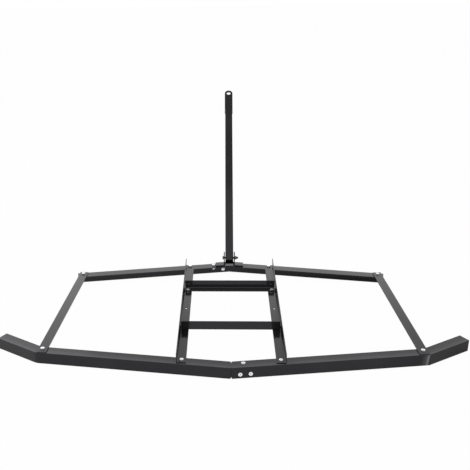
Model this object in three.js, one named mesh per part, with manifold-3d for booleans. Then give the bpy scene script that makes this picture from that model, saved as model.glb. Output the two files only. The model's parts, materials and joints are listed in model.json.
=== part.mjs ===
// Tow behind driveway drag: two V shaped angle iron scraper beams, a ballast frame and a hinged tow bar.
// Millimetres, +Z up, +Y the towing direction, +X to the right of it. The ground is z = 0.
// Shapes are drawn with the rear beams' heels meeting at x = 0, y = 0 and centred at the end.
import * as THREE from "three";
import { mergeVertices } from "three/addons/utils/BufferGeometryUtils.js";
import Module from "manifold-3d";

const overallWidth = 1981;
const frameDepth = 1044;
const frontWidth = 1523;
const rearSweep = 8.08;
const frontSweep = 10.09;
const wingTurn = 24.6;
const wingLength = 222;
const bendRadius = 58;

const beamLeg = 50;
const beamWall = 4;
const beamGauge = 25;
const beamRoot = 5;
const beamToeClip = 5;
const buttGap = 1;
const railLeg = 40;
const railWall = 3;
const railRoot = 4;
const railGauge = 21;
const railWidth = 440;
const railRearMargin = 17;
const railFrontMargin = 20;
const heelEdge = 0.9;
const toeRadius = 1.4;

const frontBarFace = 732;
const rearBarFace = 313;
const barGauge = 29;
const spareRow = 515;

const strapWidth = 40;
const strapWall = 4;
const strapRearInset = 26;
const strapFrontInset = 31.5;
const strapMargin = 25;
const plateCorner = 3;

const spliceLeg = 40;
const spliceWall = 4;
const spliceReach = 100;
const spliceHeel = 6.6;
const spliceRoot = 2.6;
const rearFaceHeight = 21.5;
const frontFaceHeight = 23.5;
const rearFaceBolts = [34, 76];
const rearTopBolts = [52];
const frontFaceBolts = [35];
const frontTopBolts = [86.5];

const capWall = 6;
const capReach = 70;
const capDepth = 38;
const capTabReach = 65;
const flangeCutReach = 68;
const earGap = 46;
const earWall = 5;
const earRadius = 30.5;
const pivotHeight = 92;
const pivotSetback = 34.5;

const towRaise = 37;
const tubeSize = 40;
const tubeWall = 2;
const tubeCorner = 4;
const tubeHeel = 24;
const tubeReach = 960;
const tongueWidth = 44;
const tongueWall = 8;
const tongueLet = 14;
const tongueOverhang = 152;
const tongueHole = 24;
const tongueHoleMargin = 19.5;

const boltSize = 10;
const boltAcross = 16;
const boltHead = 6.4;
const nutHeight = 8.4;
const boltEnd = 3;
const boltChamfer = 1;
const holeSize = 11;
const lockNutHex = 7.5;
const lockNutHeight = 10.5;
const lockNutCollar = 13;
const pivotBoltEnd = 6;
const hexChamferRise = 0.6;

const weldRadius = 1.6;
const fitGap = 0.3;
const threadGap = 0.3;
const drillLength = 40;
const arcSteps = 2;
const bendSteps = 6;
const roundSteps = 20;
const boltSteps = 24;

const radians = THREE.MathUtils.degToRad;
const up = new THREE.Vector3(0, 0, 1);
const down = new THREE.Vector3(0, 0, -1);
const across = new THREE.Vector3(1, 0, 0);
const rearAngle = radians(rearSweep);
const frontAngle = radians(frontSweep);
const wingAngle = radians(rearSweep + wingTurn);
const towAngle = radians(towRaise);
const bendX = overallWidth / 2 - wingLength * Math.cos(wingAngle);
const strapRearX = bendX - strapRearInset;
const strapFrontX = frontWidth / 2 - strapFrontInset;
const railBoltX = railWidth / 2 - railGauge;
const pivotY = frameDepth - pivotSetback;

const coat = new THREE.MeshStandardMaterial({ name: "black_coat", color: 0x1b1b1d, roughness: 0.25 });
const zinc = new THREE.MeshStandardMaterial({
  name: "zinc_plate",
  color: 0xd6d8da,
  metalness: 1,
  roughness: 0.3,
});
const oxide = new THREE.MeshStandardMaterial({
  name: "black_oxide",
  color: 0x131314,
  metalness: 1,
  roughness: 0.4,
});
const group = new THREE.Group();
group.name = "tow_behind_drag";

// Solids for cuts and joins.
const wasm = await Module();
wasm.setup();

function solidOf(geometry) {
  const bare = geometry.clone();
  bare.deleteAttribute("normal");
  bare.deleteAttribute("uv");
  const merged = mergeVertices(bare);
  const vertProperties = merged.attributes.position.array;
  const triVerts = new Uint32Array(merged.index.array);
  return new wasm.Manifold(new wasm.Mesh({ numProp: 3, vertProperties, triVerts }));
}

function geometryOf(solid) {
  const mesh = solid.getMesh();
  const geometry = new THREE.BufferGeometry();
  geometry.setAttribute("position", new THREE.BufferAttribute(mesh.vertProperties, 3));
  geometry.setIndex(new THREE.BufferAttribute(mesh.triVerts, 1));
  const faceted = geometry.toNonIndexed();
  faceted.computeVertexNormals();
  return faceted;
}

function cut(geometry, cutters) {
  let solid = solidOf(geometry);
  for (const cutter of cutters) solid = solid.subtract(solidOf(cutter));
  return geometryOf(solid);
}

function join(first, second) {
  return geometryOf(solidOf(first).add(solidOf(second)));
}

function addPart(name, geometry, material) {
  const mesh = new THREE.Mesh(geometry, material);
  mesh.name = name;
  group.add(mesh);
}

// Turns a shape made along +Z to point along an axis and sets it down at a point.
function aimed(geometry, at, axis) {
  const turn = new THREE.Quaternion().setFromUnitVectors(up, axis);
  return geometry.applyQuaternion(turn).translate(at.x, at.y, at.z);
}

function hole(at, axis, size) {
  const cylinder = new THREE.CylinderGeometry(size / 2, size / 2, drillLength, boltSteps);
  return aimed(cylinder.rotateX(Math.PI / 2), at, axis);
}

// A flat outline with every corner rounded.
function roundedOutline(corners, radius) {
  const outline = new THREE.Shape();
  corners.forEach((corner, i) => {
    const before = corners.at(i - 1).clone().sub(corner).setLength(radius).add(corner);
    const after = corners.at(i + 1 - corners.length).clone().sub(corner).setLength(radius).add(corner);
    if (i === 0) outline.moveTo(before.x, before.y);
    else outline.lineTo(before.x, before.y);
    outline.quadraticCurveTo(corner.x, corner.y, after.x, after.y);
  });
  outline.closePath();
  return outline;
}

function extruded(outline, depth) {
  return new THREE.ExtrudeGeometry(outline, { depth, bevelEnabled: false, curveSegments: arcSteps * 2 });
}

// Angle section: heel at 0, 0, base leg along +X and standing leg along +Y.
function angleOutline(standing, base, wall, heel, root, toe) {
  const quarter = Math.PI / 2;
  const outline = new THREE.Shape();
  outline.absarc(heel, heel, heel, quarter * 2, quarter * 3, false);
  outline.lineTo(base, 0);
  outline.absarc(base - toe, wall - toe, toe, 0, quarter, false);
  outline.absarc(wall + root, wall + root, root, quarter * 3, quarter * 2, true);
  outline.absarc(wall - toe, standing - toe, toe, 0, quarter, false);
  outline.lineTo(0, standing);
  outline.closePath();
  return outline;
}

// Carries an angle section, hung from its heel, through a row of stations along a beam.
function swept(outline, stations) {
  const ring = outline.getPoints(arcSteps).slice(0, -1);
  const ahead = stations.at(-1).at.clone().sub(stations[0].at);
  const facing = new THREE.Vector3().crossVectors(stations[0].across, down);
  const row = ahead.dot(facing) > 0 ? stations : stations.toReversed();
  const count = ring.length;
  const last = count * (row.length - 1);
  const points = [];
  const faces = [];
  for (const station of row) {
    for (const { x, y } of ring) {
      points.push(station.at.x + station.across.x * x);
      points.push(station.at.y + station.across.y * x);
      points.push(station.at.z - y);
    }
  }
  for (let first = 0; first < last; first += count) {
    for (let i = 0; i < count; i++) {
      const a = first + i;
      const b = first + ((i + 1) % count);
      faces.push(a, b, b + count);
      faces.push(a, b + count, a + count);
    }
  }
  for (const [a, b, c] of THREE.ShapeUtils.triangulateShape(ring, [])) {
    faces.push(c, b, a);
    faces.push(a + last, b + last, c + last);
  }
  const geometry = new THREE.BufferGeometry();
  geometry.setAttribute("position", new THREE.Float32BufferAttribute(points, 3));
  geometry.setIndex(faces);
  return geometry;
}

// Frames of the four beams: x along the V, y toward the towing direction.
function rearPoint(side, along, inward, height) {
  const point = new THREE.Vector3(side * along, inward, height);
  return point.applyAxisAngle(up, side * rearAngle);
}

function frontPoint(side, along, inward, height) {
  const point = new THREE.Vector3(side * along, -inward, height);
  point.applyAxisAngle(up, -side * frontAngle);
  return point.add(new THREE.Vector3(0, frameDepth, 0));
}

function rearInward(side, angle) {
  return new THREE.Vector3(-side * Math.sin(angle), Math.cos(angle), 0);
}

function frontInward(side) {
  return new THREE.Vector3(-side * Math.sin(frontAngle), -Math.cos(frontAngle), 0);
}

function rearGaugeY(x) {
  return x * Math.tan(rearAngle) + beamGauge / Math.cos(rearAngle);
}

function frontGaugeY(x) {
  return frameDepth - x * Math.tan(frontAngle) - beamGauge / Math.cos(frontAngle);
}

// The bolted joints. Each has its head's seat, the way the head points, its grip and what it goes through.
const fasteners = [];
const spareHoles = [];

function addFastener(name, at, axis, grip, through) {
  fasteners.push({ name, at, axis, grip, through });
}

for (const side of [-1, 1]) {
  const sideName = side < 0 ? "left" : "right";
  const boltX = side * railBoltX;
  const railTop = beamLeg + railWall;
  const railGrip = railWall + beamWall;
  const rail = `${sideName}_rail`;
  const rearSeat = new THREE.Vector3(boltX, rearGaugeY(railBoltX), railTop);
  const frontSeat = new THREE.Vector3(boltX, frontGaugeY(railBoltX), railTop);
  addFastener(`${rail}_rear`, rearSeat, up, railGrip, [rail, `rear_${sideName}_beam`]);
  addFastener(`${rail}_front`, frontSeat, up, railGrip, [rail, `front_${sideName}_beam`]);

  const barTop = railTop + railWall;
  const rearBarSeat = new THREE.Vector3(boltX, rearBarFace + barGauge, barTop);
  const frontBarSeat = new THREE.Vector3(boltX, frontBarFace - barGauge, barTop);
  addFastener(`rear_crossbar_${sideName}`, rearBarSeat, up, railWall * 2, [rail, "rear_crossbar"]);
  addFastener(`front_crossbar_${sideName}`, frontBarSeat, up, railWall * 2, [rail, "front_crossbar"]);
  spareHoles.push({ at: new THREE.Vector3(boltX, spareRow, railTop), through: [rail] });

  const strapTop = beamLeg + strapWall;
  const strapGrip = strapWall + beamWall;
  const strap = `${sideName}_strap`;
  const strapRear = new THREE.Vector3(side * strapRearX, rearGaugeY(strapRearX), strapTop);
  const strapFront = new THREE.Vector3(side * strapFrontX, frontGaugeY(strapFrontX), strapTop);
  addFastener(`${strap}_rear`, strapRear, up, strapGrip, [strap, `rear_${sideName}_beam`]);
  addFastener(`${strap}_front`, strapFront, up, strapGrip, [strap, `front_${sideName}_beam`]);
}

const topGrip = beamWall + spliceWall;
const faceGrip = beamWall + spliceWall + fitGap * 3;
rearTopBolts.forEach((along, i) => {
  const at = rearPoint(1, along, beamGauge, beamLeg);
  addFastener(`rear_splice_top_${i + 1}`, at, up, topGrip, ["rear_right_beam", "rear_splice"]);
});
rearFaceBolts.forEach((along, i) => {
  const at = rearPoint(1, along, -fitGap, rearFaceHeight);
  const out = rearInward(1, rearAngle).negate();
  addFastener(`rear_splice_face_${i + 1}`, at, out, faceGrip, ["rear_right_beam", "rear_splice"]);
});
frontTopBolts.forEach((along, i) => {
  const at = frontPoint(-1, along, beamGauge, beamLeg);
  addFastener(`front_splice_top_${i + 1}`, at, up, topGrip, ["front_left_beam", "front_splice"]);
});
frontFaceBolts.forEach((along, i) => {
  const at = frontPoint(-1, along, -fitGap, frontFaceHeight);
  const out = frontInward(-1).negate();
  addFastener(`front_splice_face_${i + 1}`, at, out, faceGrip, ["front_left_beam", "front_splice"]);
});

// Bores every bolt hole and spare hole that goes through the named piece.
function bored(name, geometry) {
  const joints = fasteners.filter(({ through }) => through.includes(name));
  const spares = spareHoles.filter(({ through }) => through.includes(name));
  const cutters = joints.map(({ at, axis }) => hole(at, axis, holeSize));
  for (const { at } of spares) cutters.push(hole(at, up, holeSize));
  return cut(geometry, cutters);
}

// Rear beams. The left one is bent in one piece, the right one is cut, turned and welded.
function beamSection() {
  return angleOutline(beamLeg, beamLeg, beamWall, heelEdge, beamRoot, toeRadius);
}

function apexStation(at, inwardY) {
  return { at, across: new THREE.Vector3(0, inwardY, 0) };
}

function rearStations(side, radius) {
  const bend = rearPoint(side, bendX / Math.cos(rearAngle), 0, beamLeg);
  const start = rearPoint(side, buttGap / 2 / Math.cos(rearAngle), 0, beamLeg);
  const end = bend.clone();
  end.x += side * wingLength * Math.cos(wingAngle);
  end.y += wingLength * Math.sin(wingAngle);
  const before = rearInward(side, rearAngle);
  const after = rearInward(side, wingAngle);
  const stations = [apexStation(start, 1 / Math.cos(rearAngle))];
  if (radius > 0) {
    const setback = radius * Math.tan((wingAngle - rearAngle) / 2);
    const centre = rearPoint(side, bendX / Math.cos(rearAngle) - setback, radius, beamLeg);
    for (let i = 0; i <= bendSteps; i++) {
      const inward = rearInward(side, rearAngle + ((wingAngle - rearAngle) * i) / bendSteps);
      stations.push({ at: centre.clone().addScaledVector(inward, -radius), across: inward });
    }
  } else {
    const mitre = before.clone().add(after).divideScalar(1 + before.dot(after));
    stations.push({ at: bend, across: mitre });
  }
  stations.push({ at: end, across: after });
  return stations;
}

function rearWeld() {
  const height = beamLeg - weldRadius * 2;
  const bead = new THREE.CapsuleGeometry(weldRadius, height, arcSteps * 2, roundSteps / 2);
  const bend = rearPoint(1, bendX / Math.cos(rearAngle), weldRadius / 2, beamLeg / 2);
  return bead.rotateX(Math.PI / 2).translate(bend.x, bend.y, bend.z);
}

// The toes of both legs have their corners taken off where the beams meet.
function toesClipped(geometry) {
  const size = beamToeClip * Math.SQRT2;
  const top = new THREE.BoxGeometry(size, size, drillLength).rotateZ(Math.PI / 4);
  const bottom = new THREE.BoxGeometry(size, drillLength, size).rotateY(Math.PI / 4);
  return cut(geometry, [top.translate(0, beamLeg / Math.cos(rearAngle), beamLeg), bottom]);
}

const smoothBend = swept(beamSection(), rearStations(-1, bendRadius));
const weldedBend = join(swept(beamSection(), rearStations(1, 0)), rearWeld());
addPart("rear_left_beam", bored("rear_left_beam", toesClipped(smoothBend)), coat);
addPart("rear_right_beam", bored("rear_right_beam", toesClipped(weldedBend)), coat);

// Front beams, with their top flanges cut back behind the hitch.
function frontBeam(side) {
  const start = frontPoint(side, buttGap / 2 / Math.cos(frontAngle), 0, beamLeg);
  const end = frontPoint(side, frontWidth / 2 / Math.cos(frontAngle), 0, beamLeg);
  const stations = [apexStation(start, -1 / Math.cos(frontAngle)), { at: end, across: frontInward(side) }];
  const relief = new THREE.BoxGeometry(flangeCutReach * 2, (beamLeg - capDepth) * 2, beamWall * 3);
  relief.translate(0, -beamLeg, beamLeg).rotateZ(-side * frontAngle).translate(0, frameDepth, 0);
  return cut(swept(beamSection(), stations), [relief]);
}

addPart("front_left_beam", bored("front_left_beam", frontBeam(-1)), coat);
addPart("front_right_beam", bored("front_right_beam", frontBeam(1)), coat);

// Splice angles inside the two apexes, bent from plate.
function splice(pointAt, inwardY, endInward) {
  const outline = angleOutline(spliceLeg, spliceLeg, spliceWall, spliceHeel, spliceRoot, toeRadius);
  const inset = beamWall + fitGap;
  const height = beamLeg - beamWall;
  const middle = new THREE.Vector3(0, pointAt(1, 0, 0, 0).y + inset * inwardY, height);
  const stations = [
    { at: pointAt(-1, spliceReach, inset, height), across: endInward(-1) },
    apexStation(middle, inwardY),
    { at: pointAt(1, spliceReach, inset, height), across: endInward(1) },
  ];
  return swept(outline, stations);
}

const rearSplice = splice(rearPoint, 1 / Math.cos(rearAngle), (side) => rearInward(side, rearAngle));
const frontSplice = splice(frontPoint, -1 / Math.cos(frontAngle), frontInward);
addPart("rear_splice", bored("rear_splice", rearSplice), coat);
addPart("front_splice", bored("front_splice", frontSplice), coat);

// Rails, standing leg outside.
function rail(side) {
  const outline = angleOutline(railLeg, railLeg, railWall, heelEdge, railRoot, toeRadius);
  const rearEnd = rearGaugeY(railBoltX) - railRearMargin;
  const frontEnd = frontGaugeY(railBoltX) + railFrontMargin;
  const geometry = extruded(outline, frontEnd - rearEnd).rotateX(Math.PI / 2);
  if (side < 0) return geometry.translate(-railWidth / 2, frontEnd, beamLeg);
  return geometry.rotateZ(Math.PI).translate(railWidth / 2, rearEnd, beamLeg);
}

addPart("left_rail", bored("left_rail", rail(-1)), coat);
addPart("right_rail", bored("right_rail", rail(1)), coat);

// Crossbars, standing legs away from the ballast bay's middle.
function crossbar(face, inward) {
  const outline = angleOutline(railLeg, railLeg, railWall, heelEdge, railRoot, toeRadius);
  const halfLength = railWidth / 2 - railWall - railRoot - fitGap;
  const geometry = extruded(outline, halfLength * 2).translate(0, 0, -halfLength);
  const upright = geometry.rotateX(Math.PI / 2).rotateZ((inward * Math.PI) / 2);
  return upright.translate(0, face, beamLeg + railWall);
}

addPart("rear_crossbar", bored("rear_crossbar", crossbar(rearBarFace, 1)), coat);
addPart("front_crossbar", bored("front_crossbar", crossbar(frontBarFace, -1)), coat);

// Straps, flat bar from the ends of the front beams to the bends of the rear beams.
function strap(side) {
  const rear = new THREE.Vector3(side * strapRearX, rearGaugeY(strapRearX), beamLeg);
  const front = new THREE.Vector3(side * strapFrontX, frontGaugeY(strapFrontX), beamLeg);
  const run = front.clone().sub(rear);
  const middle = rear.clone().add(front).divideScalar(2);
  const halfLength = run.length() / 2 + strapMargin;
  const half = strapWidth / 2;
  const corners = [
    new THREE.Vector2(-halfLength, -half),
    new THREE.Vector2(halfLength, -half),
    new THREE.Vector2(halfLength, half),
    new THREE.Vector2(-halfLength, half),
  ];
  const bar = extruded(roundedOutline(corners, plateCorner), strapWall);
  return bar.rotateZ(Math.atan2(run.y, run.x)).translate(middle.x, middle.y, middle.z);
}

addPart("left_strap", bored("left_strap", strap(-1)), coat);
addPart("right_strap", bored("right_strap", strap(1)), coat);

// Hitch bracket: a cap plate over the front apex and two ears that carry the pivot bolt.
const earReach = earGap / 2 + earWall;

function capPlate() {
  const slope = Math.tan(frontAngle);
  const depth = capDepth / Math.cos(frontAngle);
  const farEnd = frameDepth - capReach * slope;
  const sideCorner = frameDepth - earReach * slope - depth;
  const tabEnd = frameDepth - capTabReach;
  const corners = [
    new THREE.Vector2(0, frameDepth),
    new THREE.Vector2(-capReach, farEnd),
    new THREE.Vector2(-capReach, farEnd - depth),
    new THREE.Vector2(-earReach, sideCorner),
    new THREE.Vector2(-earReach, tabEnd),
    new THREE.Vector2(earReach, tabEnd),
    new THREE.Vector2(earReach, sideCorner),
    new THREE.Vector2(capReach, farEnd - depth),
    new THREE.Vector2(capReach, farEnd),
  ];
  return extruded(roundedOutline(corners, plateCorner), capWall).translate(0, 0, beamLeg);
}

function ear(side) {
  const foot = beamLeg + capWall;
  const outline = new THREE.Shape();
  outline.moveTo(-earRadius, foot - pivotHeight);
  outline.lineTo(earRadius, foot - pivotHeight);
  outline.absarc(0, 0, earRadius, 0, Math.PI, false);
  outline.closePath();
  const plate = new THREE.ExtrudeGeometry(outline, {
    depth: earWall,
    bevelEnabled: false,
    curveSegments: roundSteps,
  });
  plate.translate(0, 0, -earWall / 2).rotateX(Math.PI / 2).rotateZ(Math.PI / 2);
  plate.translate((side * (earGap + earWall)) / 2, pivotY, pivotHeight);
  const pivot = new THREE.Vector3((side * (earGap + earWall)) / 2, pivotY, pivotHeight);
  return cut(plate, [hole(pivot, across, holeSize)]);
}

addPart("hitch_cap", capPlate(), coat);
addPart("left_hitch_ear", ear(-1), coat);
addPart("right_hitch_ear", ear(1), coat);

// Tow bar: square tube on the pivot bolt, with a flat tongue let into slots in its side walls.
function squareCorners(half) {
  return [
    new THREE.Vector2(-half, -half),
    new THREE.Vector2(half, -half),
    new THREE.Vector2(half, half),
    new THREE.Vector2(-half, half),
  ];
}

function raised(geometry) {
  return geometry.rotateX(towAngle - Math.PI / 2).translate(0, pivotY, pivotHeight);
}

function towTube() {
  const outline = roundedOutline(squareCorners(tubeSize / 2), tubeCorner);
  outline.holes.push(roundedOutline(squareCorners(tubeSize / 2 - tubeWall), tubeCorner - tubeWall));
  const tube = extruded(outline, tubeReach + tubeHeel).translate(0, 0, -tubeHeel);
  const slotLength = tongueLet + fitGap;
  const slot = new THREE.BoxGeometry(tubeSize * 2, tongueWall + fitGap * 2, slotLength * 2);
  slot.translate(0, 0, tubeReach);
  const cross = new THREE.CylinderGeometry(holeSize / 2, holeSize / 2, tubeSize * 2, roundSteps);
  return raised(cut(tube, [slot, cross.rotateZ(Math.PI / 2)]));
}

function towTongue() {
  const half = tongueWidth / 2;
  const tip = tubeReach + tongueOverhang;
  const outline = new THREE.Shape();
  outline.moveTo(-half, tubeReach - tongueLet);
  outline.lineTo(half, tubeReach - tongueLet);
  outline.absarc(0, tip - half, half, 0, Math.PI, false);
  outline.closePath();
  const bore = new THREE.Path();
  bore.absarc(0, tip - tongueHoleMargin, tongueHole / 2, 0, Math.PI * 2, true);
  outline.holes.push(bore);
  const plate = new THREE.ExtrudeGeometry(outline, {
    depth: tongueWall,
    bevelEnabled: false,
    curveSegments: roundSteps,
  });
  return raised(plate.translate(0, 0, -tongueWall / 2).rotateX(Math.PI / 2));
}

addPart("tow_bar_tube", towTube(), coat);
addPart("tow_tongue", towTongue(), coat);

// Hexagon with chamfered corners from z = 0, with two of its corners along X.
function hexagon(height) {
  const corner = boltAcross / Math.sqrt(3);
  const prism = new THREE.CylinderGeometry(corner, corner, height, 6).rotateY(Math.PI / 6);
  prism.rotateX(Math.PI / 2).translate(0, 0, height / 2);
  const profile = [
    new THREE.Vector2(0, 0),
    new THREE.Vector2(corner, 0),
    new THREE.Vector2(corner, height - hexChamferRise),
    new THREE.Vector2(boltAcross / 2, height),
    new THREE.Vector2(0, height),
  ];
  return geometryOf(solidOf(prism).intersect(solidOf(turned(profile))));
}

function turned(profile) {
  return new THREE.LatheGeometry(profile, boltSteps).rotateX(Math.PI / 2);
}

// Its head stands on z = 0 and its shank, with a chamfered end, hangs below.
function hexBolt(length) {
  const radius = boltSize / 2;
  const shank = [
    new THREE.Vector2(0, -length),
    new THREE.Vector2(radius - boltChamfer, -length),
    new THREE.Vector2(radius, boltChamfer - length),
    new THREE.Vector2(radius, 0),
    new THREE.Vector2(0, 0),
  ];
  return join(turned(shank), hexagon(boltHead));
}

function hexNut(outside) {
  return cut(outside, [hole(new THREE.Vector3(), up, boltSize + threadGap)]);
}

for (const { name, at, axis, grip } of fasteners) {
  addPart(`${name}_bolt`, aimed(hexBolt(grip + nutHeight + boltEnd), at, axis), zinc);
  const nutSeat = at.clone().addScaledVector(axis, -grip);
  addPart(`${name}_nut`, aimed(hexNut(hexagon(nutHeight)).rotateX(Math.PI), nutSeat, axis), zinc);
}

// Pivot bolt, head on the left, with a collared lock nut on the right. Both are black.
const earOutside = earGap / 2 + earWall + fitGap;
const pivotLeft = new THREE.Vector3(-earOutside, pivotY, pivotHeight);
const pivotRight = new THREE.Vector3(earOutside, pivotY, pivotHeight);
const pivotBolt = hexBolt(earOutside * 2 + lockNutHeight + pivotBoltEnd);
const collar = [
  new THREE.Vector2(0, 0),
  new THREE.Vector2(lockNutCollar / 2, 0),
  new THREE.Vector2(lockNutCollar / 2, lockNutHeight - boltChamfer),
  new THREE.Vector2(lockNutCollar / 2 - boltChamfer, lockNutHeight),
  new THREE.Vector2(0, lockNutHeight),
];
const lockNut = hexNut(join(hexagon(lockNutHex), turned(collar)));
addPart("pivot_bolt", aimed(pivotBolt, pivotLeft, across.clone().negate()), oxide);
addPart("pivot_nut", aimed(lockNut, pivotRight, across), oxide);

// The origin goes to the middle of the footprint, on the ground.
const extent = new THREE.Box3().setFromObject(group);
group.position.y = -(extent.min.y + extent.max.y) / 2;

export default group;
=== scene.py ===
"""A tow behind driveway drag: angle iron scraper beams, a ballast frame and a hinged tow bar."""

import json
import math

import bmesh
import bpy
import numpy as np
from mathutils import Matrix, Vector


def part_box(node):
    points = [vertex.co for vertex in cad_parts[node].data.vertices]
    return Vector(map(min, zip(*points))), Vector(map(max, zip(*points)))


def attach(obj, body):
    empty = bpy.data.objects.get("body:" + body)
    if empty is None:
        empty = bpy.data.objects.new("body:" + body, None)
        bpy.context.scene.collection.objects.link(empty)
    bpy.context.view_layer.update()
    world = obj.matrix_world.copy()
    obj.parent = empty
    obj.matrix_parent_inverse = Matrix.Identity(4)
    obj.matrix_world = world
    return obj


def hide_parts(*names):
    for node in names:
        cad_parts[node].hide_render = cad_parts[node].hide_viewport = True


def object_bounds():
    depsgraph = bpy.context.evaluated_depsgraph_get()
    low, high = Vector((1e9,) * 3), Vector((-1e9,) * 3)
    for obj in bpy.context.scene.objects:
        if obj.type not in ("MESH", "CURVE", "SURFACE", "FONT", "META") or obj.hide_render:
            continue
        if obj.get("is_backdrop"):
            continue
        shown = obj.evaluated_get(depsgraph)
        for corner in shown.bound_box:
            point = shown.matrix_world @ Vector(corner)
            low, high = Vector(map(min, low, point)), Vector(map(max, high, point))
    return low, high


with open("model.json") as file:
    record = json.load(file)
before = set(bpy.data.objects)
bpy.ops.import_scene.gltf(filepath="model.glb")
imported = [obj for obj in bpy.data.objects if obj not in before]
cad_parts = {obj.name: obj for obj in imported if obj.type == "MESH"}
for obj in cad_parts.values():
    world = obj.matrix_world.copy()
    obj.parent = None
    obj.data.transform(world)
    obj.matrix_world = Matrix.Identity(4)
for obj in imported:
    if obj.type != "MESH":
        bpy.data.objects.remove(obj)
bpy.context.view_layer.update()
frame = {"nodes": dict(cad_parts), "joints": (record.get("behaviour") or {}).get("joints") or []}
nodes = frame["nodes"]

# Scraper beams
# Four lengths of 50 mm angle iron in two V shapes. The rear pair's outer ends are turned forward as wings.
# They are powder coated: a thin glossy black skin with the fine ripple that such coats have.
coat_black = (0.0090, 0.0084, 0.0098)
coat_dust = (0.020, 0.019, 0.020)
coat_gleam = (0.97, 0.93, 1.0)
coat_ior = 1.40
ripple_size, ripple_depth, ripple_strength = 0.0011, 0.00002, 0.25
cloud_size = 0.16
dust_start, dust_full = 0.5, 0.85


def feed(tree, socket, term):
    """Gives a socket a plain number or colour, or links another socket to it."""
    if isinstance(term, bpy.types.NodeSocket):
        tree.links.new(term, socket)
    else:
        socket.default_value = term


def reckon(tree, operation, *terms):
    """One step of arithmetic on sockets or numbers."""
    step = tree.nodes.new("ShaderNodeMath")
    step.operation = operation
    for socket, term in zip(step.inputs, terms):
        feed(tree, socket, term)
    return step.outputs[0]


def ramp(tree, value, start, end, low=0.0, high=1.0, kind="LINEAR"):
    """A number that goes from low to high as the value goes from start to end."""
    step = tree.nodes.new("ShaderNodeMapRange")
    step.interpolation_type = kind
    tree.links.new(value, step.inputs["Value"])
    for name, limit in (("From Min", start), ("From Max", end), ("To Min", low), ("To Max", high)):
        step.inputs[name].default_value = limit
    return step.outputs["Result"]


def noise(tree, scale, detail):
    """Noise over the piece, as fine as its scale says."""
    place = tree.nodes.new("ShaderNodeTexCoord")
    grain = tree.nodes.new("ShaderNodeTexNoise")
    grain.inputs["Detail"].default_value = detail
    feed(tree, grain.inputs["Scale"], scale)
    tree.links.new(place.outputs["Object"], grain.inputs["Vector"])
    return grain.outputs["Fac"]


def mix(tree, mask, under, over):
    """The colour under, which turns to the colour over as the mask goes to 1."""
    step = tree.nodes.new("ShaderNodeMix")
    step.data_type = "RGBA"
    for name, term in (("Factor", mask), ("A", under), ("B", over)):
        feed(tree, step.inputs[name], term)
    return step.outputs["Result"]


def bump(tree, height, strength, depth):
    """The normal of a surface that rises with a height."""
    step = tree.nodes.new("ShaderNodeBump")
    step.inputs["Strength"].default_value = strength
    step.inputs["Distance"].default_value = depth
    tree.links.new(height, step.inputs["Height"])
    return step.outputs["Normal"]


def new_group(name, inputs, outputs):
    """An empty node group with named numbers going in and out."""
    group = bpy.data.node_groups.new(name, "ShaderNodeTree")
    for way, names in (("INPUT", inputs), ("OUTPUT", outputs)):
        for socket in names:
            group.interface.new_socket(socket, in_out=way, socket_type="NodeSocketFloat")
    inlet, outlet = group.nodes.new("NodeGroupInput"), group.nodes.new("NodeGroupOutput")
    return group, inlet.outputs, outlet.inputs


def use_group(tree, group, values):
    """Places a node group in a material with the material's own values."""
    step = tree.nodes.new("ShaderNodeGroup")
    step.node_tree = group
    for name, value in values.items():
        step.inputs[name].default_value = value
    return step.outputs


def new_material(name):
    """An empty material, with its node tree and its shader."""
    material = bpy.data.materials.new(name)
    material.use_nodes = True
    return material, material.node_tree, material.node_tree.nodes["Principled BSDF"]


def coat_skin_group():
    """Powder coat as a node group: fine ripple height, cloudy roughness and a trace of dust. The
    roughness is gloss + spread (cloud - 1/2)."""
    ripple_detail, cloud_detail, cloud_middle = 1, 4, 0.5
    inputs, outputs = ("Ripple Size", "Cloud Size", "Gloss", "Spread"), ("Dust", "Roughness", "Height")
    group, inlet, outlet = new_group("coat_skin", inputs, outputs)
    ripple = noise(group, reckon(group, "DIVIDE", 1, inlet["Ripple Size"]), ripple_detail)
    cloud = noise(group, reckon(group, "DIVIDE", 1, inlet["Cloud Size"]), cloud_detail)
    centred = reckon(group, "SUBTRACT", cloud, cloud_middle)
    rough = reckon(group, "MULTIPLY_ADD", centred, inlet["Spread"], inlet["Gloss"])
    feed(group, outlet["Dust"], ramp(group, cloud, dust_start, dust_full))
    feed(group, outlet["Roughness"], rough)
    feed(group, outlet["Height"], ripple)
    return group


coat_skin = coat_skin_group()


def powder_coat(name, gloss, spread, black=coat_black):
    """Glossy black powder coat, whose roughness strays from gloss by up to half of spread."""
    material, tree, shader = new_material(name)
    values = {"Ripple Size": ripple_size, "Cloud Size": cloud_size, "Gloss": gloss, "Spread": spread}
    coat = use_group(tree, coat_skin, values)
    shader.inputs["IOR"].default_value = coat_ior
    shader.inputs["Specular Tint"].default_value = (*coat_gleam, 1)
    feed(tree, shader.inputs["Base Color"], mix(tree, coat["Dust"], (*black, 1), (*coat_dust, 1)))
    feed(tree, shader.inputs["Roughness"], coat["Roughness"])
    feed(tree, shader.inputs["Normal"], bump(tree, coat["Height"], ripple_strength, ripple_depth))
    return material


def finish_nodes(names, material):
    """Gives carried-over pieces their material."""
    for name in names:
        nodes[name].data.materials.clear()
        nodes[name].data.materials.append(material)


apex_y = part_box("rear_left_beam")[0].y
bend_x = 0.8036
rear_sweep, wing_turn = math.radians(8.08), math.radians(24.6)
wing_sweep = rear_sweep + wing_turn
beam_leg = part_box("rear_right_beam")[1].z
# Painted highlight: a paler black laid along the heel of the rear beams' top flange, where the rounded heel
# catches the light.
heel_highlight_colour = (0.062, 0.060, 0.064)
heel_highlight_band, heel_highlight_fall = 0.044, 1.7
flange_skin = 0.0008
streak_scale, streak_detail = 30, 2
streak_least, streak_gain = 0.6, 0.6


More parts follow.
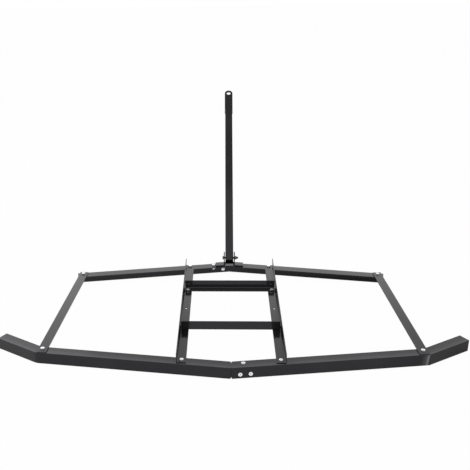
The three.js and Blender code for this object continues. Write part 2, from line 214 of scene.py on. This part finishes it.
def coordinates(tree):
    """The x, y and z of each point of the surface."""
    place, parts = tree.nodes.new("ShaderNodeTexCoord"), tree.nodes.new("ShaderNodeSeparateXYZ")
    tree.links.new(place.outputs["Object"], parts.inputs[0])
    return parts.outputs


def heel_highlight_group():
    """Painted highlight along the heel of the rear beams' top flange: (1 - d / band) ^ fall, with fall its
    falloff power, at d inwards from the heel, times streaks of noise. The heel lies at y = apex + |x|
    tan(sweep) and turns to the wing's sweep at the bend."""
    inputs = ("Apex", "Bend", "Slope", "Wing Slope", "Height", "Band")
    group, inlet, outlet = new_group("heel_highlight", inputs, ("Heel Highlight",))
    at = coordinates(group)
    out = reckon(group, "ABSOLUTE", at["X"])
    main = reckon(group, "MINIMUM", out, inlet["Bend"])
    heel = reckon(group, "MULTIPLY_ADD", main, inlet["Slope"], inlet["Apex"])
    beyond = reckon(group, "SUBTRACT", out, main)
    heel = reckon(group, "MULTIPLY_ADD", beyond, inlet["Wing Slope"], heel)
    inwards = reckon(group, "MAXIMUM", reckon(group, "SUBTRACT", at["Y"], heel), 0)
    near = reckon(group, "SUBTRACT", 1, reckon(group, "DIVIDE", inwards, inlet["Band"]))
    near = reckon(group, "POWER", reckon(group, "MAXIMUM", near, 0), heel_highlight_fall)
    on_top = reckon(group, "GREATER_THAN", at["Z"], reckon(group, "SUBTRACT", inlet["Height"], flange_skin))
    grain = noise(group, streak_scale, streak_detail)
    streaks = reckon(group, "MULTIPLY_ADD", grain, streak_gain, streak_least)
    heel_lit = reckon(group, "MULTIPLY", near, on_top)
    feed(group, outlet["Heel Highlight"], reckon(group, "MULTIPLY", heel_lit, streaks))
    return group


def paint_over(material, mask, colour):
    """Lays a colour over the finish's own, as far as the mask says."""
    tree = material.node_tree
    base = tree.nodes["Principled BSDF"].inputs["Base Color"]
    feed(tree, base, mix(tree, mask, base.links[0].from_socket, (*colour, 1)))


def add_heel_highlight(coat):
    """Adds the painted heel highlight to a rear beam's coat, over its own colour."""
    values = {"Apex": apex_y, "Bend": bend_x, "Height": beam_leg, "Band": heel_highlight_band}
    values |= {"Slope": math.tan(rear_sweep), "Wing Slope": math.tan(wing_sweep)}
    paint_over(coat, use_group(coat.node_tree, heel_highlight, values)["Heel Highlight"], heel_highlight_colour)
    return coat


heel_highlight = heel_highlight_group()
finish_nodes(["rear_left_beam"], add_heel_highlight(powder_coat("rear_beam_coat", gloss=0.16, spread=0.10)))
finish_nodes(["front_left_beam", "front_right_beam"], powder_coat("front_beam_coat", gloss=0.16, spread=0.10))

# Splices
# Short angles bent from plate behind the two butt joints.
# Each is bolted to one beam of its pair and welded to the other.
finish_nodes(["rear_splice", "front_splice"], powder_coat("splice_coat", gloss=0.2, spread=0.08))

# Bend weld
# The right rear beam is notched, turned and welded: one bead up its face and one over its top flange.
# Beside the bead its face has a painted highlight: a pale strip that fades inwards.
bend_highlight_grey = (0.25, 0.25, 0.255)
bend_highlight_lean = 0.12
bend_highlight_line = bend_x - 0.0115
bend_highlight_width, bend_highlight_fade = 0.0075, 0.040
strip_share, fade_share = 0.62, 0.38
stop_share = 0.4
flank_top, flank_full = 0.0012, 0.0032


def bend_highlight_coat(name, gloss, spread):
    """Rear beam coat with a painted highlight, a pale strip beside the bend. The strip is full where u = x -
    lean z reaches the highlight's line, and gone one strip width beyond it. Inwards it's the sum of a narrow
    step and the square of a wide one. It keeps clear of the rounded heel above it."""
    material = add_heel_highlight(powder_coat(name, gloss, spread))
    tree = material.node_tree
    at = coordinates(tree)
    u = reckon(tree, "MULTIPLY_ADD", at["Z"], -bend_highlight_lean, at["X"])
    inward = ramp(tree, u, bend_highlight_line - bend_highlight_fade, bend_highlight_line, kind="SMOOTHSTEP")
    strip = ramp(tree, u, bend_highlight_line - bend_highlight_width, bend_highlight_line, kind="SMOOTHSTEP")
    fade = reckon(tree, "MULTIPLY", reckon(tree, "MULTIPLY", inward, inward), fade_share)
    both = reckon(tree, "ADD", reckon(tree, "MULTIPLY", strip, strip_share), fade)
    stop_start, stop_end = bend_highlight_line + bend_highlight_width, bend_highlight_line + bend_highlight_width * stop_share
    stop = ramp(tree, u, stop_start, stop_end, kind="SMOOTHSTEP")
    flank = ramp(tree, at["Z"], beam_leg - flank_top, beam_leg - flank_full)
    bend_lit = reckon(tree, "MULTIPLY", reckon(tree, "MULTIPLY", both, stop), flank)
    paint_over(material, bend_lit, bend_highlight_grey)
    return material


finish_nodes(["rear_right_beam"], bend_highlight_coat("bent_beam_coat", gloss=0.16, spread=0.10))


def add_object(name, data):
    """Puts a new object into the scene."""
    piece = bpy.data.objects.new(name, data)
    bpy.context.scene.collection.objects.link(piece)
    return piece


def skin(name, rings, poles=None):
    """Closes a stack of rings into a mesh: rings[i, j] is point j of ring i. With two poles the first
    and last rings close onto them, and without poles the last ring joins the first."""
    crease = math.radians(32)
    count, around = rings.shape[:2]
    turn = count if poles is None else count - 1
    i, j = np.meshgrid(np.arange(turn), np.arange(around), indexing="ij")
    next_i, next_j = (i + 1) % count, (j + 1) % around
    corners = [i * around + j, i * around + next_j, next_i * around + next_j, next_i * around + j]
    faces = np.stack(corners, -1).reshape(-1, 4).tolist()
    points = rings.reshape(-1, 3)
    if poles is not None:
        here = np.arange(around)
        ahead = (here + 1) % around
        start, end = np.full(around, count * around), np.full(around, count * around + 1)
        last = (count - 1) * around
        faces += np.stack([start, ahead, here], -1).tolist()
        faces += np.stack([end, last + here, last + ahead], -1).tolist()
        points = np.vstack([points, poles])
    mesh = bpy.data.meshes.new(name)
    mesh.from_pydata(points.tolist(), [], faces)
    shell = bmesh.new()
    shell.from_mesh(mesh)
    bmesh.ops.recalc_face_normals(shell, faces=shell.faces)
    shell.to_mesh(mesh)
    shell.free()
    mesh.polygons.foreach_set("use_smooth", [True] * len(mesh.polygons))
    mesh.set_sharp_from_angle(angle=crease)
    return add_object(name, mesh)


def weld_bead(name, start, end, outward, width, height, material):
    """A weld bead from start to end. Its section is a flattened round, half as deep as it is high.
    It swells once every ripple by surge cos(2 pi (s / ripple - bow sin(around))), so the ripples bow
    forward at the crest, and both ends round off as sqrt(1 - t ^ end_power), with t from -1 to 1."""
    ripple, bow, surge = 0.0016, 0.35, 0.10
    steps_a_ripple, section_points, end_power = 6, 16, 8
    start, end, outward = (np.array(v, float) for v in (start, end, outward))
    length = np.linalg.norm(end - start)
    along = (end - start) / length
    side = np.cross(along, outward)
    steps = int(length / ripple * steps_a_ripple)
    s = np.linspace(0, length, steps + 2)[1:-1, None]
    around = np.linspace(0, 2 * math.pi, section_points, endpoint=False)[None, :]
    swell = 1 + surge * np.cos(2 * math.pi * (s / ripple - bow * np.sin(around)))
    taper = np.sqrt(1 - np.abs(2 * s / length - 1) ** end_power)
    rise = np.where(np.sin(around) > 0, height, height / 2) * np.sin(around) * swell * taper
    reach = width / 2 * np.cos(around) * swell * taper
    rings = start + along * s[..., None] + outward * rise[..., None] + side * reach[..., None]
    piece = skin(name, rings, np.array([start, end]))
    piece.data.materials.append(material)
    return piece


weld_coat = powder_coat("weld_coat", gloss=0.24, spread=0.08)
bend_bead_width, face_bead_height, top_bead_height = 0.0046, 0.0013, 0.0011
foot_gap, heel_gap = 0.002, 0.0015
flange_gap, flange_reach = 0.002, 0.049
bend = Vector((bend_x, apex_y + bend_x * math.tan(rear_sweep), 0))
bend_top = bend + Vector((0, 0, beam_leg))
half_sweep = (rear_sweep + wing_sweep) / 2
turn_out = Vector((math.sin(half_sweep), -math.cos(half_sweep), 0))
bead_foot, bead_top = bend + Vector((0, 0, foot_gap)), bend + Vector((0, 0, beam_leg - heel_gap))
face_bead = weld_bead(
    "bend_face_weld", bead_foot, bead_top, turn_out, bend_bead_width, face_bead_height, weld_coat
)
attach(face_bead, "frame")
flange_start, flange_end = bend_top - turn_out * flange_gap, bend_top - turn_out * flange_reach
top_bead = weld_bead(
    "bend_top_weld", flange_start, flange_end, (0, 0, 1), bend_bead_width, top_bead_height, weld_coat
)
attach(top_bead, "frame")

# Rails and crossbars
# 40 mm angle iron: two rails with their standing legs outside, and two crossbars bolted between them.
# The crossbars can stand in any of three rows of holes, and hold the ballast between them.
rail_coat = powder_coat("rail_coat", gloss=0.14, spread=0.08)
finish_nodes(["left_rail", "right_rail"], rail_coat)
# Painted light: the crossbars' coat is a lighter black than the rest, to brighten their lying legs where they
# sit in shade.
crossbar_black = (0.021, 0.020, 0.022)
crossbar_coat = powder_coat("crossbar_coat", gloss=0.15, spread=0.07, black=crossbar_black)
finish_nodes(["rear_crossbar", "front_crossbar"], crossbar_coat)

# Straps
# Flat bar with nipped corners, from the ends of the front beams to the bends of the rear beams.
# Each lies on the top flanges and is held by one bolt at each end.
finish_nodes(["left_strap", "right_strap"], powder_coat("strap_coat", gloss=0.17, spread=0.10))

# Hitch bracket
# A cap plate over the front apex, with two ears that stand on it.
# Each ear is welded by a fillet along its inner side.
bracket_coat = powder_coat("bracket_coat", gloss=0.18, spread=0.08)
finish_nodes(["hitch_cap", "left_hitch_ear", "right_hitch_ear"], bracket_coat)
fillet_width, fillet_height = 0.0062, 0.0026
fillet_gap = 0.002
for side, ear in ((-1, "left_hitch_ear"), (1, "right_hitch_ear")):
    low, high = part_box(ear)
    inside = low.x if side > 0 else high.x
    foot_start = Vector((inside, low.y + fillet_gap, low.z))
    foot_end = Vector((inside, high.y - fillet_gap, low.z))
    lean = Vector((-side, 0, 1)).normalized()
    fillet = weld_bead(f"{ear}_weld", foot_start, foot_end, lean, fillet_width, fillet_height, weld_coat)
    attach(fillet, "frame")

# Tow bar
# Square tube that turns on the pivot bolt, open at its end.
# The flat tongue is let into slots in its side walls and welded there.
finish_nodes(["tow_bar_tube"], powder_coat("tow_bar_coat", gloss=0.15, spread=0.08))
finish_nodes(["tow_tongue"], powder_coat("tongue_coat", gloss=0.2, spread=0.08))
pivot = frame["joints"][0]["pos_m"]
pivot = Vector((0, pivot[1], pivot[2]))
tow_raise = math.radians(37)
tube_half = 0.020
tube_reach = 0.960
tongue_let = 0.014
tongue_half = 0.004
seam_width, seam_height = 0.0048, 0.0019
seam_gap = 0.001
bar_along = Vector((0, math.cos(tow_raise), math.sin(tow_raise)))
bar_up = Vector((0, -math.sin(tow_raise), math.cos(tow_raise)))
for side, side_name in ((-1, "left"), (1, "right")):
    for face, face_name in ((-1, "lower"), (1, "upper")):
        wall = pivot + Vector((side * tube_half, 0, 0)) + bar_up * face * tongue_half
        lean = (Vector((side, 0, 0)) + bar_up * face).normalized()
        slot_start = wall + bar_along * (tube_reach - tongue_let + seam_gap)
        slot_end = wall + bar_along * (tube_reach - seam_gap)
        name = f"tongue_{side_name}_{face_name}_weld"
        seam = weld_bead(name, slot_start, slot_end, lean, seam_width, seam_height, weld_coat)
        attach(seam, "tow_bar")

# Hexagon bolts and nuts
# M10 hexagon bolts, bright zinc plated, with their threads cut up to the head and a dimple on top.
# Each clamps two pieces of the frame with a plain nut at its other end.
ring_points = 48
around = np.linspace(0, 2 * math.pi, ring_points, endpoint=False)
flats, head_height, nut_height = 0.016, 0.0064, 0.0084
round_top_share, cone_slope = 0.485, math.tan(math.radians(25))
dimple_radius, dimple_depth, dimple_floor_share = 0.0027, 0.0010, 0.6
# Painted shade: the dimple in each bolt head is painted grey for the shade in its recess.
dimple_shade_grey = (0.20, 0.20, 0.21)
thread_radius, thread_depth, thread_pitch = 0.005, 0.00075, 0.0015
rings_a_turn, least_rings = 6, 4
bore_radius = 0.00515
edge_break, bore_break, end_break = 0.0003, 0.0006, 0.0009
zinc_metal = 0.85
zinc_scale, zinc_detail = 260, 3
zinc_dark, zinc_light = (0.86, 0.88, 0.90), (0.98, 0.98, 0.97)
zinc_stray = 0.08
zinc_strength, zinc_depth = 0.3, 0.00002


def zinc_plate(name, rough):
    """Bright zinc plate: pale bluish metal, a little cloudy, with the grain of cold formed steel. It's
    painted a dull grey, a painted shade for the dimple's recess, where the point attribute named hollow is 1."""
    material, tree, shader = new_material(name)
    cloud = noise(tree, zinc_scale, zinc_detail)
    shade = tree.nodes.new("ShaderNodeValToRGB")
    shade.color_ramp.elements[0].color = (*zinc_dark, 1)
    shade.color_ramp.elements[1].color = (*zinc_light, 1)
    hollow = tree.nodes.new("ShaderNodeAttribute")
    hollow.attribute_name = "hollow"
    shader.inputs["Metallic"].default_value = zinc_metal
    feed(tree, shade.inputs["Fac"], cloud)
    feed(tree, shader.inputs["Base Color"], shade.outputs["Color"])
    paint_over(material, hollow.outputs["Fac"], dimple_shade_grey)
    stray = ramp(tree, cloud, 0, 1, rough - zinc_stray, rough + zinc_stray)
    feed(tree, shader.inputs["Roughness"], stray)
    feed(tree, shader.inputs["Normal"], bump(tree, cloud, zinc_strength, zinc_depth))
    return material


def hexagon():
    """Distance from the axis to a hexagon's side, half its flats over the cosine of the angle from
    the middle of the nearest flat."""
    sector = math.pi / 3
    return flats / 2 / np.cos((around + sector / 2) % sector - sector / 2)


def hexagon_rows(top, bottom=0):
    """Rings up a hexagon from bottom to top. Its corners are cut by a 25 degree cone that leaves a
    round top, so the edge sinks by tan(25) of what a corner stands out past that round."""
    reach = hexagon()
    round_top = flats * round_top_share
    edge = top - np.maximum(reach - round_top, 0) * cone_slope
    return [(reach - edge_break, bottom), (reach, bottom + edge_break), (reach, edge), (round_top, top)]


def thread_rows(upper, lower):
    """Rings down a thread. Its radius falls from the crest by the thread's depth times a triangle
    wave of z / pitch - angle / 2 pi, and runs out at both ends."""
    rings = max(int((upper - lower) / thread_pitch * rings_a_turn), least_rings)
    height = np.linspace(upper, lower, rings)
    phase = (height[:, None] / thread_pitch - around[None, :] / (2 * math.pi)) % 1
    fade = np.clip(np.minimum(upper - height, height - lower) / thread_pitch, 0, 1)[:, None]
    radius = thread_radius - thread_depth * fade * (1 - np.abs(2 * phase - 1))
    return list(zip(radius, height))


def stacked(rows):
    """Turns rows of radius and height into rings about the z axis, whose points are
    (radius cos(around), radius sin(around), height)."""
    radius = np.array([np.broadcast_to(r, around.shape) for r, _ in rows])
    height = np.array([np.broadcast_to(z, around.shape) for _, z in rows])
    return np.stack([radius * np.cos(around), radius * np.sin(around), height], -1)


def bolt_skin(name, shank, thread):
    """A hexagon bolt with its seat at z = 0 and its shank below, threaded over its last part. Its
    dimple is marked by the point attribute named hollow."""
    dimple_floor = head_height - dimple_depth
    dimple = [(dimple_radius * dimple_floor_share, dimple_floor), (dimple_radius, head_height)]
    rows = [*dimple, *reversed(hexagon_rows(head_height)), (thread_radius, 0)]
    if thread < shank:
        rows.append((thread_radius, thread - shank))
    rows += thread_rows(thread - shank - edge_break, -shank + end_break)
    rows.append((thread_radius - thread_depth, -shank))
    piece = skin(name, stacked(rows), np.array([[0, 0, dimple_floor], [0, 0, -shank]]))
    hollow = np.zeros(len(piece.data.vertices))
    hollow[:ring_points] = hollow[-2] = 1
    piece.data.attributes.new("hollow", "FLOAT", "POINT").data.foreach_set("value", hollow)
    return piece


def nut_skin(name, height, collar=None):
    """A nut with its seat at z = 0. With a collar, given as its radius and height, it's a lock nut."""
    rows = [(bore_radius + bore_break, 0), *hexagon_rows(height)]
    top = height
    if collar:
        radius, top = collar
        rows += [(radius, height), (radius, top - end_break), (radius - end_break, top)]
    rows += [(bore_radius + bore_break, top), (bore_radius, top - bore_break), (bore_radius, bore_break)]
    return skin(name, stacked(rows))


def set_down(piece, seat, axis, spin):
    """Turns a fastener's axis from +Z to the given one, spins it and moves its seat into place."""
    turn = Vector((0, 0, 1)).rotation_difference(axis).to_matrix().to_4x4()
    piece.data.transform(Matrix.Translation(seat) @ turn @ Matrix.Rotation(spin, 4, "Z"))


bolt_zinc = zinc_plate("bolt_zinc", rough=0.17)
front_sweep = math.radians(10.09)
rear_out = Vector((math.sin(rear_sweep), -math.cos(rear_sweep), 0))
front_out = Vector((-math.sin(front_sweep), math.cos(front_sweep), 0))
upright = Vector((0, 0, 1))
face_shank = 0.0203
spin_middle, spin_reach, spin_step = math.pi / 6, 0.24, 2.4
nut_spin = 0.3
for index, name in enumerate(sorted(n for n in nodes if n.endswith("_bolt") and n != "pivot_bolt")):
    low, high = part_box(name)
    axis = upright
    if "_face_" in name:
        axis = rear_out if name.startswith("rear") else front_out
    shank = face_shank if "_face_" in name else high.z - low.z - head_height
    seat = (low + high) / 2 + axis * (shank - head_height) / 2
    spin = spin_middle + spin_reach * math.sin(index * spin_step)
    bolt = bolt_skin(name.replace("_bolt", "_hex_bolt"), shank, shank)
    set_down(bolt, seat, axis, spin)
    fastener_nut = name.replace("_bolt", "_nut")
    low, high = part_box(fastener_nut)
    nut = nut_skin(name.replace("_bolt", "_hex_nut"), nut_height)
    set_down(nut, (low + high) / 2 + axis * nut_height / 2, -axis, spin + nut_spin)
    for piece, node in ((bolt, name), (nut, fastener_nut)):
        piece.data.materials.append(bolt_zinc)
        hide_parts(node)
        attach(piece, "frame")

# Pivot bolt
# A black M10 bolt through both ears and the tube, plain where they turn on it and threaded at its end.
# It's held by a black lock nut with a collar.
pivot_thread = 0.026
pivot_spin, lock_spin = 0.3, 0.9
lock_hex, lock_height, collar_radius = 0.0075, 0.0105, 0.0065
oxide_black, oxide_rough = (0.10, 0.10, 0.105), 0.38
black_oxide, _, shader = new_material("black_oxide")
shader.inputs["Base Color"].default_value = (*oxide_black, 1)
shader.inputs["Metallic"].default_value = 1
shader.inputs["Roughness"].default_value = oxide_rough
low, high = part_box("pivot_bolt")
bolt = bolt_skin("pivot_hex_bolt", high.x - low.x - head_height, pivot_thread)
set_down(bolt, Vector((low.x + head_height, pivot.y, pivot.z)), Vector((-1, 0, 0)), pivot_spin)
nut_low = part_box("pivot_nut")[0]
nut = nut_skin("pivot_lock_nut", lock_hex, (collar_radius, lock_height))
set_down(nut, Vector((nut_low.x, pivot.y, pivot.z)), Vector((1, 0, 0)), lock_spin)
for piece, node in ((bolt, "pivot_bolt"), (nut, "pivot_nut")):
    piece.data.materials.append(black_oxide)
    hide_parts(node)
    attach(piece, "frame")

# Floor and light
# A white studio. The floor and the surroundings show white to the camera. In reflections the floor is painted
# darker towards its far right, a painted shadow for light that comes from the left, and the surroundings
# overhead are darker.
floor_reach, floor_sink = 14.0, 0.0004
floor_shade = 0.62
floor_show = 0.98
# Painted shadow: across the floor, its brightness in reflections falls from mirrored_near to mirrored_far.
mirrored_near, mirrored_far = 0.82, 0.25
dusk_lean = 0.6
dusk_start, dusk_end = 0.0, 0.55
corners = [(x * floor_reach, y * floor_reach, -floor_sink) for x, y in ((-1, -1), (1, -1), (1, 1), (-1, 1))]
floor_mesh = bpy.data.meshes.new("floor")
floor_mesh.from_pydata(corners, [], [(0, 1, 2, 3)])
floor = add_object("floor", floor_mesh)
floor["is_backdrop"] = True
floor_white, tree, _ = new_material("floor_white")
tree.nodes.clear()
rays = tree.nodes.new("ShaderNodeLightPath").outputs
at = coordinates(tree)
across = reckon(tree, "MULTIPLY_ADD", at["Y"], dusk_lean, at["X"])
fall = ramp(tree, across, dusk_start, dusk_end, mirrored_near, mirrored_far)
mirrored = reckon(tree, "MULTIPLY", rays["Is Glossy Ray"], fall)
shown = reckon(tree, "MULTIPLY_ADD", rays["Is Camera Ray"], floor_show, mirrored)
matt = tree.nodes.new("ShaderNodeBsdfDiffuse")
matt.inputs["Color"].default_value = (floor_shade, floor_shade, floor_shade, 1)
glow = tree.nodes.new("ShaderNodeEmission")
blend = tree.nodes.new("ShaderNodeMixShader")
surface = tree.nodes.new("ShaderNodeOutputMaterial")
for socket, term in zip(blend.inputs, (shown, matt.outputs[0], glow.outputs[0])):
    tree.links.new(term, socket)
tree.links.new(blend.outputs[0], surface.inputs["Surface"])
floor_mesh.materials.append(floor_white)

sky_start, sky_end = 0.56, 0.92
sky_level, sky_top = 1.0, 0.58
matt_fill = 0.6
world = bpy.data.worlds.new("white_studio")
bpy.context.scene.world = world
world.use_nodes = True
tree = world.node_tree
backdrop = tree.nodes["Background"]
rays = tree.nodes.new("ShaderNodeLightPath").outputs
mirrored = ramp(tree, coordinates(tree)["Z"], sky_start, sky_end, sky_level, sky_top)
fill = tree.nodes.new("ShaderNodeMix")
for name, term in (("Factor", rays["Is Glossy Ray"]), ("A", matt_fill), ("B", mirrored)):
    feed(tree, fill.inputs[name], term)
strength = reckon(tree, "MAXIMUM", rays["Is Camera Ray"], fill.outputs["Result"])
feed(tree, backdrop.inputs["Strength"], strength)
backdrop.inputs["Color"].default_value = (1, 1, 1, 1)


def soft_box(name, size, place, aim, radiance, mirrored):
    """A rectangular lamp, width by height. Its power is its radiance times pi times its area."""
    width, height = size
    data = bpy.data.lights.new(name, "AREA")
    data.shape = "RECTANGLE"
    data.size, data.size_y = width, height
    data.energy = radiance * math.pi * width * height
    lamp = add_object(name, data)
    place, aim = Vector(place), Vector(aim)
    turn = (aim - place).to_track_quat("-Z", "Y").to_matrix().to_4x4()
    lamp.matrix_world = Matrix.Translation(place) @ turn
    lamp.visible_camera = False
    lamp.visible_glossy = mirrored


soft_box("key_lamp", (2.4, 2.0), (-2.6, 0.2, 2.6), (0, -0.2, 0), radiance=2.2, mirrored=False)
soft_box("overhead_box", (3.0, 2.4), (0, -0.95, 3.0), (0, -0.95, 0), radiance=0.55, mirrored=True)
soft_box("back_box", (5.3, 2.05), (-0.75, 3.6, 1.18), (-0.75, 0, 1.18), radiance=0.21, mirrored=True)
soft_box("back_low_box", (6.0, 1.5), (0, 3.55, 1.1), (0, 0, 1.1), radiance=0.28, mirrored=True)
soft_box("left_box", (1.95, 2.5), (-2.4, 3.5, 2.35), (-2.4, 0, 2.35), radiance=0.45, mirrored=True)

# Camera
# A long lens behind and above the drag, a little left of its middle line, turned and tilted as found
# from the beams, rails and bar in the photograph. The shift is the off-centre crop of the photograph.
photo_pixels = 470
focal_pixels = 783.02
crop_centre = (189.49, 268.51)
camera_pitch, camera_yaw, camera_roll = math.radians(23.887), math.radians(-2.6286), math.radians(-1.0210)
camera_place = Vector((-0.03535, apex_y - 2.66420, 1.66020))
camera_data = bpy.data.cameras.new("camera")
camera_data.sensor_width = 36
camera_data.lens = camera_data.sensor_width * focal_pixels / photo_pixels
camera_data.shift_x = (photo_pixels / 2 - crop_centre[0]) / photo_pixels
camera_data.shift_y = (crop_centre[1] - photo_pixels / 2) / photo_pixels
camera = add_object("camera", camera_data)
heading = Matrix.Rotation(-camera_yaw, 4, "Z")
tilt = Matrix.Rotation(math.pi / 2 - camera_pitch, 4, "X")
roll = Matrix.Rotation(camera_roll, 4, "Z")
camera.matrix_world = Matrix.Translation(camera_place) @ heading @ tilt @ roll
bpy.context.scene.camera = camera
bpy.context.scene.view_settings.view_transform = "Standard"

low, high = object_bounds()
